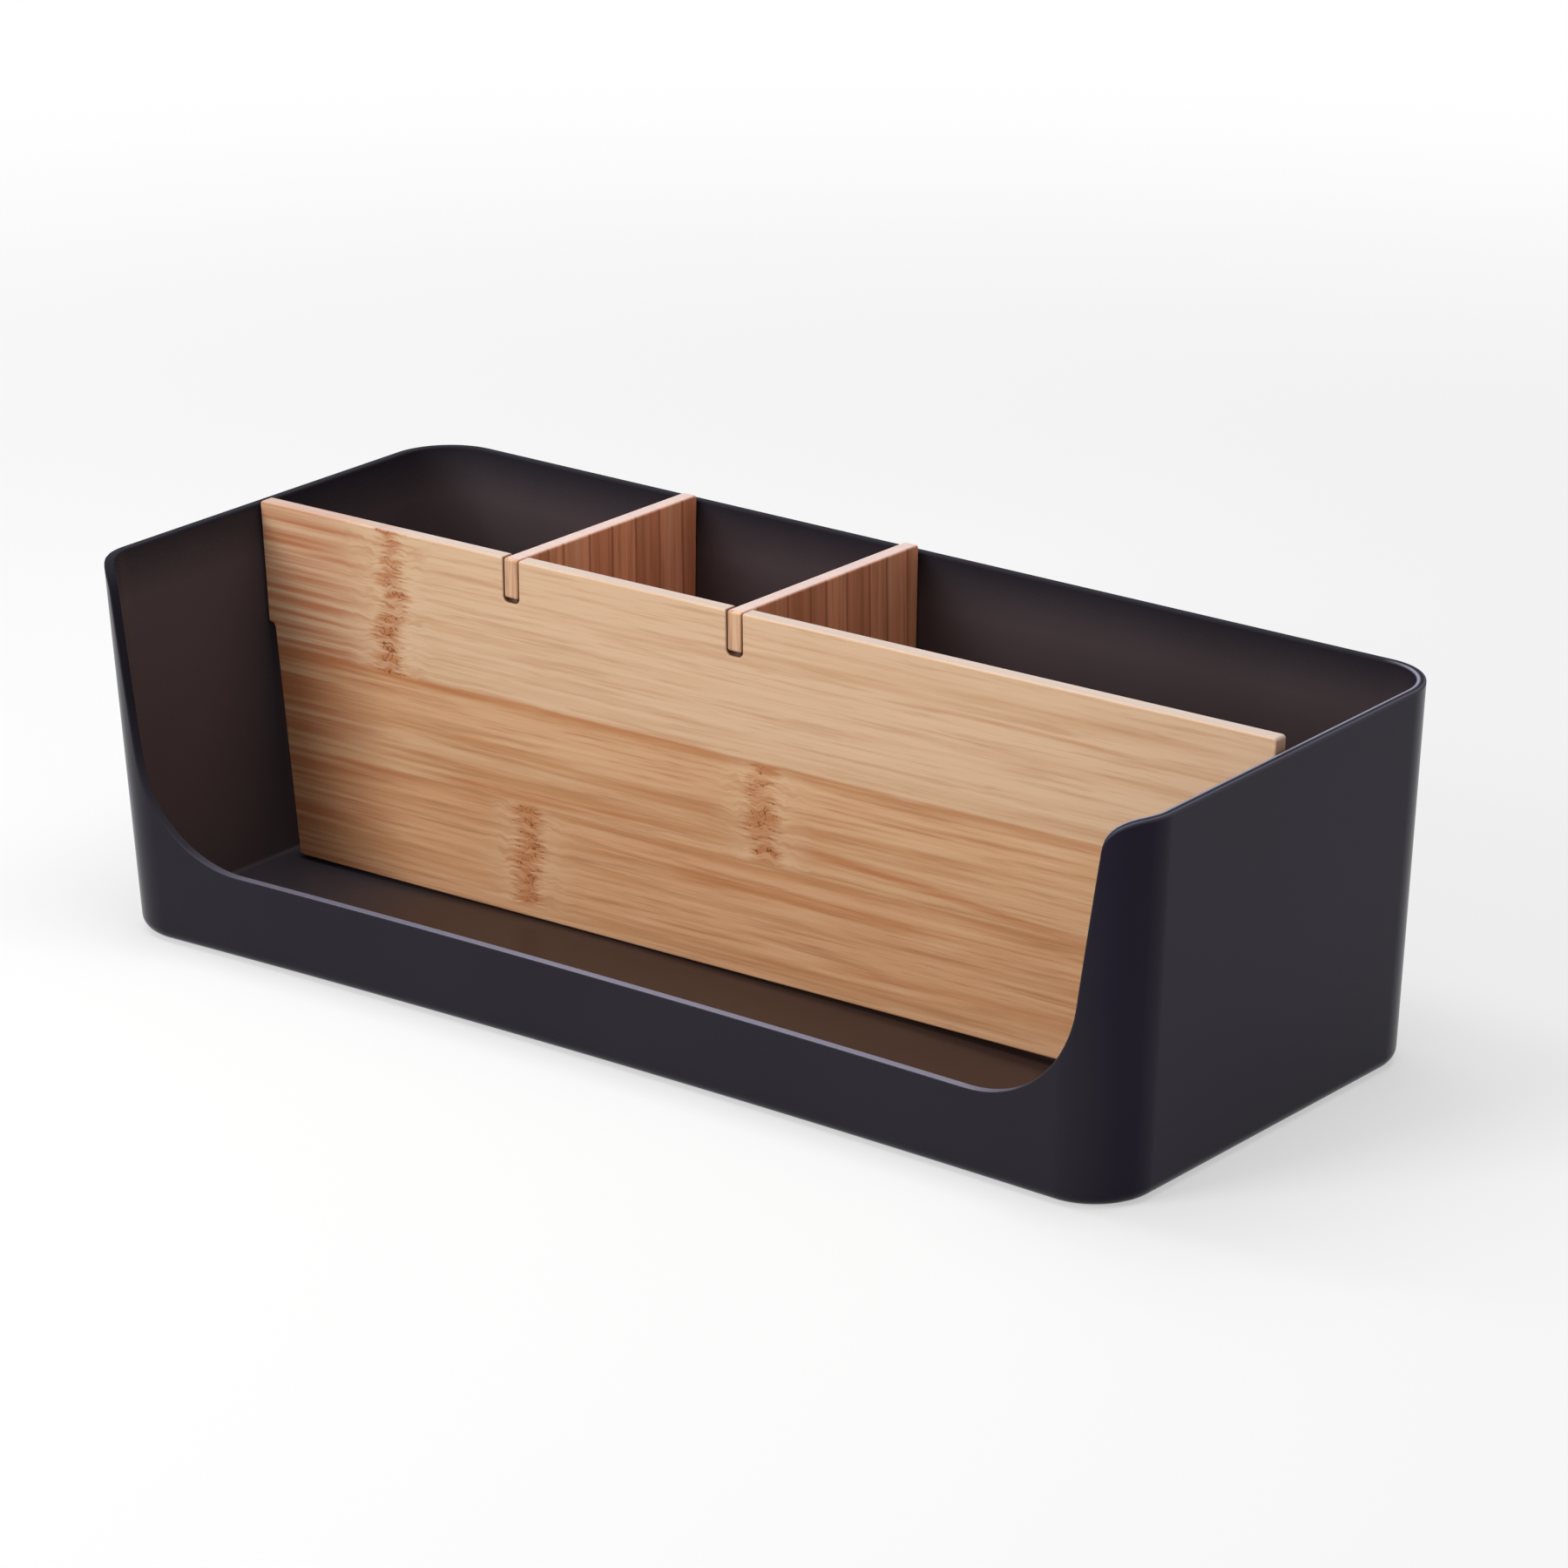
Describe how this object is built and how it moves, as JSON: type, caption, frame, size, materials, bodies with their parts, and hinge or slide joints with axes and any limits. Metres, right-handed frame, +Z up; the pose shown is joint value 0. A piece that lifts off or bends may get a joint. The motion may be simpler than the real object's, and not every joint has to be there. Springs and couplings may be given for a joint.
{
  "type": "compartment storage box",
  "caption": "Open-topped plastic desk tray with a scooped front, divided by interlocking push-in bamboo partitions.",
  "frame": {"origin": "under the middle of the tray, on the surface that it stands on", "axes": "+X along the long side, to the right of someone facing the scooped front; +Y to the rear; +Z up"},
  "size_m": [0.302, 0.127, 0.0941],
  "materials": {
    "tray": "satin charcoal",
    "long_panel": "oiled bamboo, grain along the length",
    "cross_divider_left": "oiled bamboo, grain upright",
    "cross_divider_right": "oiled bamboo, grain upright"
  },
  "bodies": {
    "tray": {"tray": "tray"},
    "panel": {"long_panel": "long_panel"},
    "left_divider": {"cross_divider_left": "cross_divider_left"},
    "right_divider": {"cross_divider_right": "cross_divider_right"}
  },
  "joints": [
    {"name": "panel_lift", "type": "slide", "parent": "tray", "child": "panel", "axis": [0, 0, 1], "range_m": [0, 0.1]},
    {"name": "left_divider_lift", "type": "slide", "parent": "panel", "child": "left_divider", "axis": [0, 0, 1], "range_m": [0, 0.1]},
    {"name": "right_divider_lift", "type": "slide", "parent": "panel", "child": "right_divider", "axis": [0, 0, 1], "range_m": [0, 0.1]}
  ]
}
